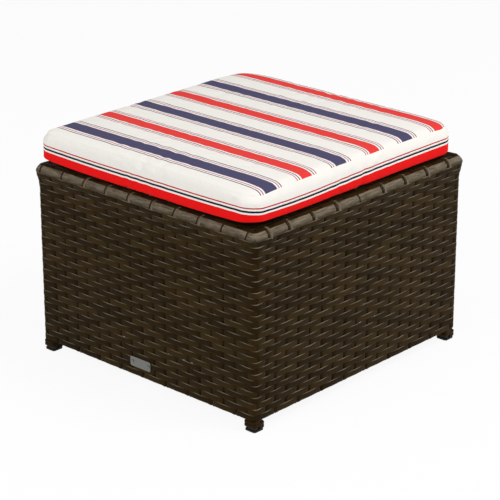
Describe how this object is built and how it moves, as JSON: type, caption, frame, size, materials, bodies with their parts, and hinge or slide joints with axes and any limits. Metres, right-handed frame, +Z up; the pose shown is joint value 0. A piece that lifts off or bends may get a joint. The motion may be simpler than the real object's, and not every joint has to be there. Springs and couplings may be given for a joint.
{
  "type": "outdoor ottoman footstool",
  "caption": "Square outdoor footstool: a woven wicker box with a rolled rim on a tube frame, and a loose striped seat cushion with a zipped cover.",
  "frame": {"origin": "on the floor, under the middle of the woven box", "axes": "+Z up, -Y towards the front side with the name plate, +X to the right seen from the front"},
  "size_m": [0.499, 0.523, 0.3958],
  "materials": {
    "frame_steel": "dark brown powder coat, satin",
    "wicker": "flat extruded resin strip, dark brown, satin",
    "glide": "black moulded plastic",
    "plate_metal": "brushed, bare",
    "striped_cloth": "plain-woven outdoor cloth, white with navy and red stripes",
    "boxing_cloth": "the same cloth with its stripes along the side of the cushion",
    "foam": "polyurethane foam block",
    "zip_tape": "white coil zip",
    "zip_metal": "nickel plated"
  },
  "bodies": {
    "box": {"leg_front_left": "frame_steel", "leg_front_right": "frame_steel", "leg_back_right": "frame_steel", "leg_back_left": "frame_steel", "foot_glide_front_left": "glide", "foot_glide_front_right": "glide", "foot_glide_back_right": "glide", "foot_glide_back_left": "glide", "foot_wrap_front_left": "wicker", "foot_wrap_front_right": "wicker", "foot_wrap_back_right": "wicker", "foot_wrap_back_left": "wicker", "top_rail_front": "frame_steel", "top_rail_right": "frame_steel", "top_rail_back": "frame_steel", "top_rail_left": "frame_steel", "bottom_rail_front": "frame_steel", "bottom_rail_right": "frame_steel", "bottom_rail_back": "frame_steel", "bottom_rail_left": "frame_steel", "woven_wall_front": "wicker", "woven_wall_right": "wicker", "woven_wall_back": "wicker", "woven_wall_left": "wicker", "deck_bar_1": "frame_steel", "deck_bar_2": "frame_steel", "deck_bar_3": "frame_steel", "woven_deck": "wicker", "name_plate": "plate_metal", "plate_rivet_left": "plate_metal", "plate_rivet_right": "plate_metal"},
    "cushion": {"foam_core": "foam", "cover_top_panel": "striped_cloth", "cover_bottom_panel": "striped_cloth", "cover_boxing": "boxing_cloth", "zip_tape": "zip_tape"},
    "zip_slider": {"zip_slider": "zip_metal"},
    "zip_pull": {"zip_pull": "zip_metal"}
  },
  "joints": [
    {"name": "cushion_lift", "type": "slide", "parent": "box", "child": "cushion", "axis": [0, 0, 1], "range_m": [0, 0.3]},
    {"name": "zip_slide", "type": "slide", "parent": "cushion", "child": "zip_slider", "axis": [1, 0, 0], "range_m": [0, 0.386]},
    {"name": "zip_pull_swing", "type": "hinge", "parent": "zip_slider", "child": "zip_pull", "pos_m": [-0.1965, 0.2554, 0.3658], "axis": [1, 0, 0], "range_deg": [0, 150]}
  ]
}
